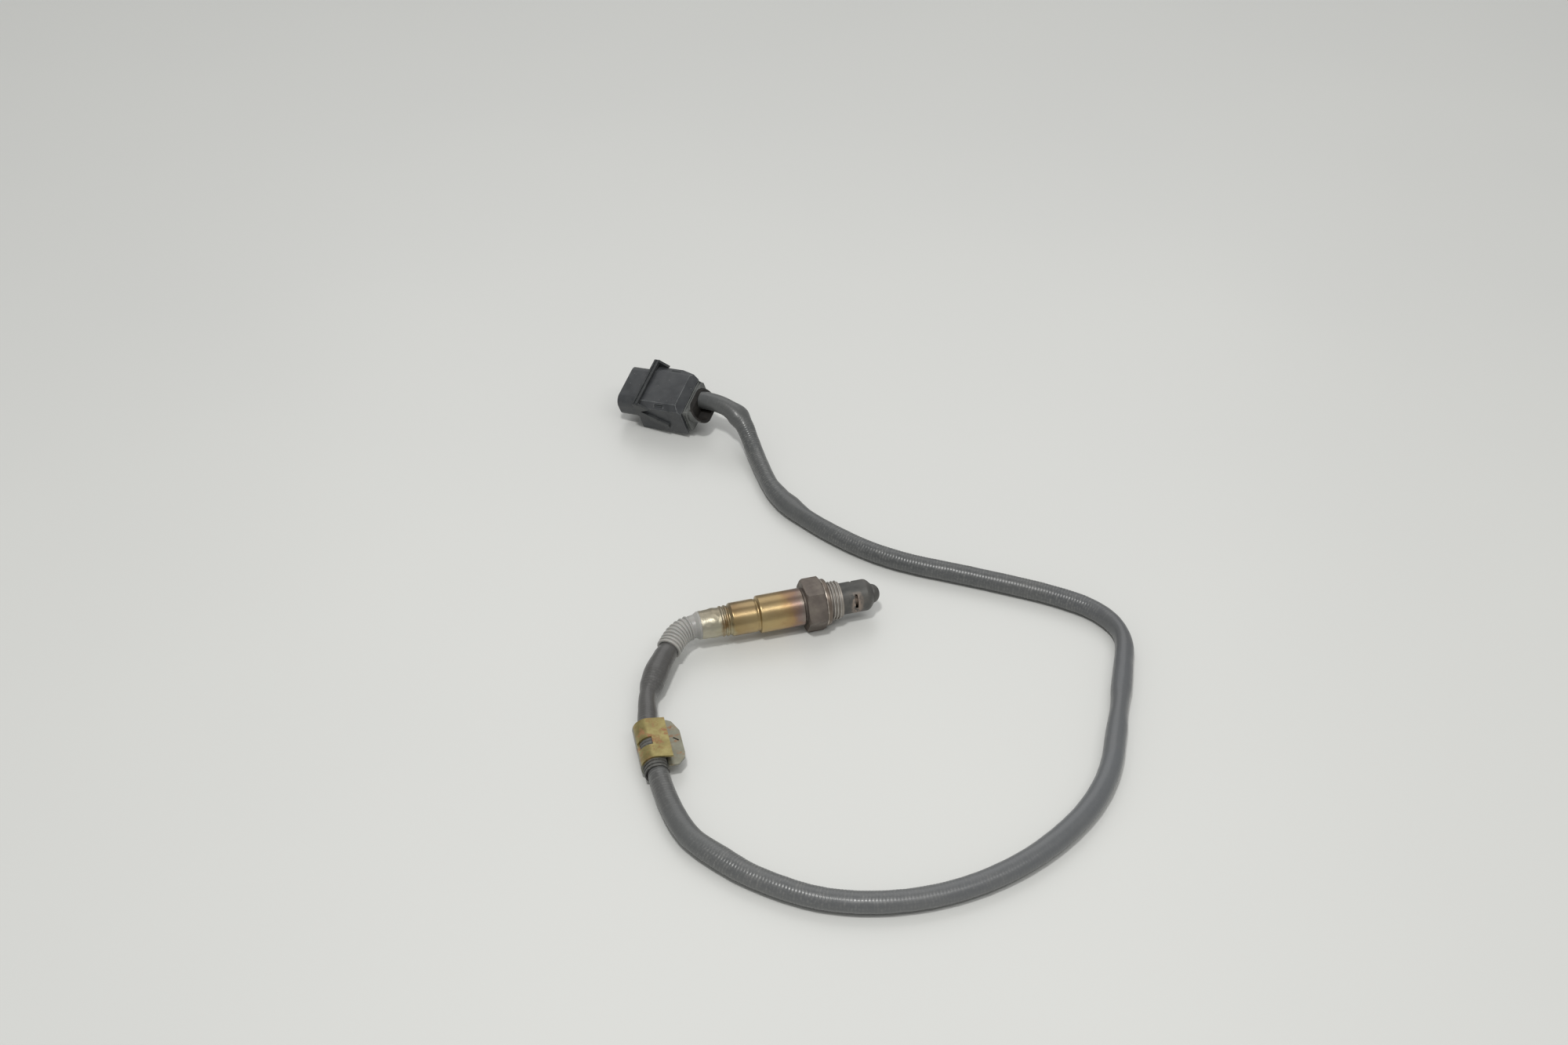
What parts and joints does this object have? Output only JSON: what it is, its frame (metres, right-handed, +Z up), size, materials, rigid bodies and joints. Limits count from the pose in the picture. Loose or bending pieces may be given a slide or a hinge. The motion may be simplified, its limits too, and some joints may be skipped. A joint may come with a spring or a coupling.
{
  "type": "oxygen sensor",
  "caption": "Exhaust oxygen sensor with threaded hex body, gold-tinted sleeve, grey bend relief, ribbed cable in a loose loop, spring-steel cable clip and black plug.",
  "frame": {"origin": "centre of the seat plane, the thread side of the sealing ring, on the sensor's axis", "axes": "+X along the sensor towards the probe tip, +Z up with the hexagon lying on a flat surface at z = -11 mm, +Y to the left of +X"},
  "size_m": [0.2324, 0.3712, 0.028],
  "materials": {
    "sooty_steel": "stainless steel darkened by soot, brown at the gas inlet holes",
    "housing_steel": "turned steel, brownish heat haze, grey film on the thread",
    "ring_steel": "pressed steel ring, dull",
    "element_ceramic": "sintered ceramic strip",
    "white_ceramic": "plain fired ceramic",
    "talc": "pressed powder",
    "spring_metal": "rolled spring strip",
    "lead_insulation": "fluoropolymer insulation",
    "tinted_steel": "drawn stainless sleeve, straw-gold heat tint",
    "black_rubber": "moulded fluoro rubber",
    "grey_rubber": "light grey silicone, slightly glossy",
    "sleeve_weave": "dark ribbed glass-fibre sleeve with a rubbery coating",
    "zinc_chromate": "yellow passivated zinc with rust spots",
    "black_plastic": "moulded glass-filled plastic, worn edges",
    "pin_tin": "tinned contact pins",
    "seal_rubber": "moulded silicone seal",
    "resistor_ceramic": "ceramic chip",
    "frame_plastic": "moulded plastic",
    "cover_plastic": "moulded plastic, slightly greyed"
  },
  "bodies": {
    "root": {"protection_tube_outer": "sooty_steel", "protection_tube_inner": "sooty_steel", "sensor_housing": "housing_steel", "sealing_ring": "ring_steel", "sensing_element": "element_ceramic", "lower_ceramic_bush": "white_ceramic", "talc_seal": "talc", "upper_ceramic_bush": "white_ceramic", "contact_holder": "white_ceramic", "contact_springs": "spring_metal", "sensor_leads": "lead_insulation", "protective_sleeve": "tinted_steel", "cable_grommet": "black_rubber", "strain_relief_boot": "grey_rubber", "cable_sleeve": "sleeve_weave", "cable_clip": "zinc_chromate", "clip_bush": "black_rubber", "connector_housing": "black_plastic", "terminal_carrier": "black_plastic", "contact_pins": "pin_tin", "front_seal": "seal_rubber", "wire_seals": "seal_rubber", "connector_leads": "lead_insulation", "trim_resistor": "resistor_ceramic", "lock_frame": "frame_plastic", "rear_cover": "cover_plastic"}
  },
  "joints": []
}
